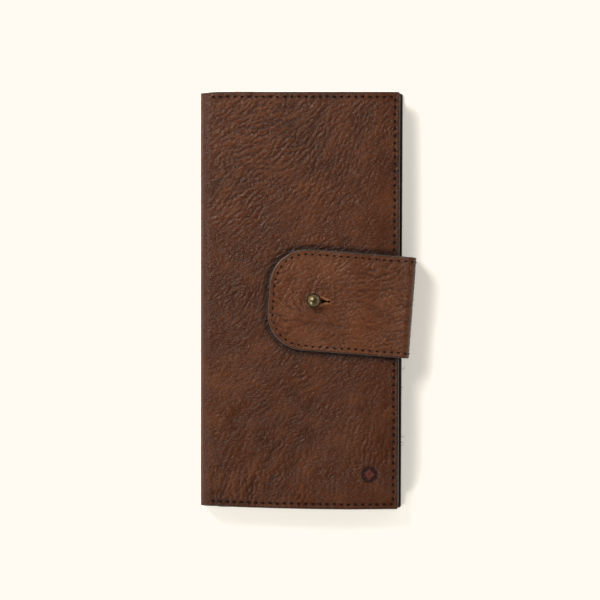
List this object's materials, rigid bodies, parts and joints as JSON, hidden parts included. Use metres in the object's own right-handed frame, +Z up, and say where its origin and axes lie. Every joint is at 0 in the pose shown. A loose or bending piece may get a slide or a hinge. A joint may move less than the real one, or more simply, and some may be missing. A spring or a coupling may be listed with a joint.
{
  "type": "long wallet",
  "caption": "Long leather wallet that opens like a book, closed by a round-ended strap whose keyhole slips over a ball stud.",
  "frame": {"origin": "under the middle of the closed wallet, strap included, on the face it rests on", "axes": "+X from the spine to the opening edge, +Y along the spine, +Z up through the front cover"},
  "size_m": [0.1018, 0.197, 0.0281],
  "materials": {
    "outer_hide": "oiled pebbled cowhide",
    "strap_hide": "oiled pebbled cowhide",
    "lining_leather": "matt suede side",
    "pocket_leather": "smooth",
    "zip_cloth": "woven tape",
    "antique_brass": "antiqued"
  },
  "bodies": {
    "back_half": {"back_cover": "outer_hide", "back_lining": "lining_leather", "slip_pocket": "pocket_leather", "coin_pocket_back": "lining_leather", "coin_pocket_face": "pocket_leather", "zip_tape_left": "zip_cloth", "zip_tape_right": "zip_cloth", "zip_teeth_left": "antique_brass", "zip_teeth_right": "antique_brass", "zip_top_stop": "antique_brass", "zip_bottom_stop": "antique_brass", "strap_anchor": "strap_hide", "strap_anchor_lining": "lining_leather"},
    "slider": {"zip_slider": "antique_brass"},
    "pull": {"zip_pull": "pocket_leather"},
    "spine": {"spine_cover": "outer_hide", "spine_lining": "lining_leather"},
    "front_half": {"front_cover": "outer_hide", "front_lining": "lining_leather", "bill_panel": "pocket_leather", "card_pocket_upper_1": "pocket_leather", "card_pocket_upper_2": "pocket_leather", "card_pocket_upper_3": "pocket_leather", "card_pocket_upper_4": "pocket_leather", "card_pocket_lower_1": "pocket_leather", "card_pocket_lower_2": "pocket_leather", "card_pocket_lower_3": "pocket_leather", "card_pocket_lower_4": "pocket_leather", "stud_ball": "antique_brass", "stud_screw": "antique_brass"},
    "strap_fold": {"strap_bend": "strap_hide", "strap_bend_lining": "lining_leather"},
    "strap_flap": {"strap_tab": "strap_hide", "strap_tab_lining": "lining_leather"}
  },
  "joints": [
    {"name": "spine_fold", "type": "hinge", "parent": "back_half", "child": "spine", "pos_m": [-0.05095, 0, 0], "axis": [0, -1, 0], "range_deg": [0, 90]},
    {"name": "front_fold", "type": "hinge", "parent": "spine", "child": "front_half", "pos_m": [-0.05095, 0, 0.0188], "axis": [0, -1, 0], "range_deg": [0, 90]},
    {"name": "strap_lower_fold", "type": "hinge", "parent": "back_half", "child": "strap_fold", "pos_m": [0.04911, -0.00359, 0.0021], "axis": [0.0767, 0.9971, 0], "range_deg": [0, 90], "deforming": ["strap_bend", "strap_bend_lining"]},
    {"name": "strap_upper_fold", "type": "hinge", "parent": "strap_fold", "child": "strap_flap", "pos_m": [0.04911, -0.00359, 0.0215], "axis": [0.0767, 0.9971, 0], "range_deg": [0, 90], "deforming": ["strap_tab", "strap_tab_lining"]},
    {"name": "zip_slide", "type": "slide", "parent": "back_half", "child": "slider", "axis": [0, -1, 0], "range_m": [0, 0.134]},
    {"name": "pull_swing", "type": "hinge", "parent": "slider", "child": "pull", "pos_m": [-0.03545, 0.0645, 0.0109], "axis": [-1, 0, 0], "range_deg": [0, 180], "deforming": ["zip_pull"]}
  ],
  "couplings": [
    {"joint": "front_fold", "follows": "spine_fold", "ratio": 1},
    {"joint": "strap_upper_fold", "follows": "strap_lower_fold", "ratio": 1}
  ]
}
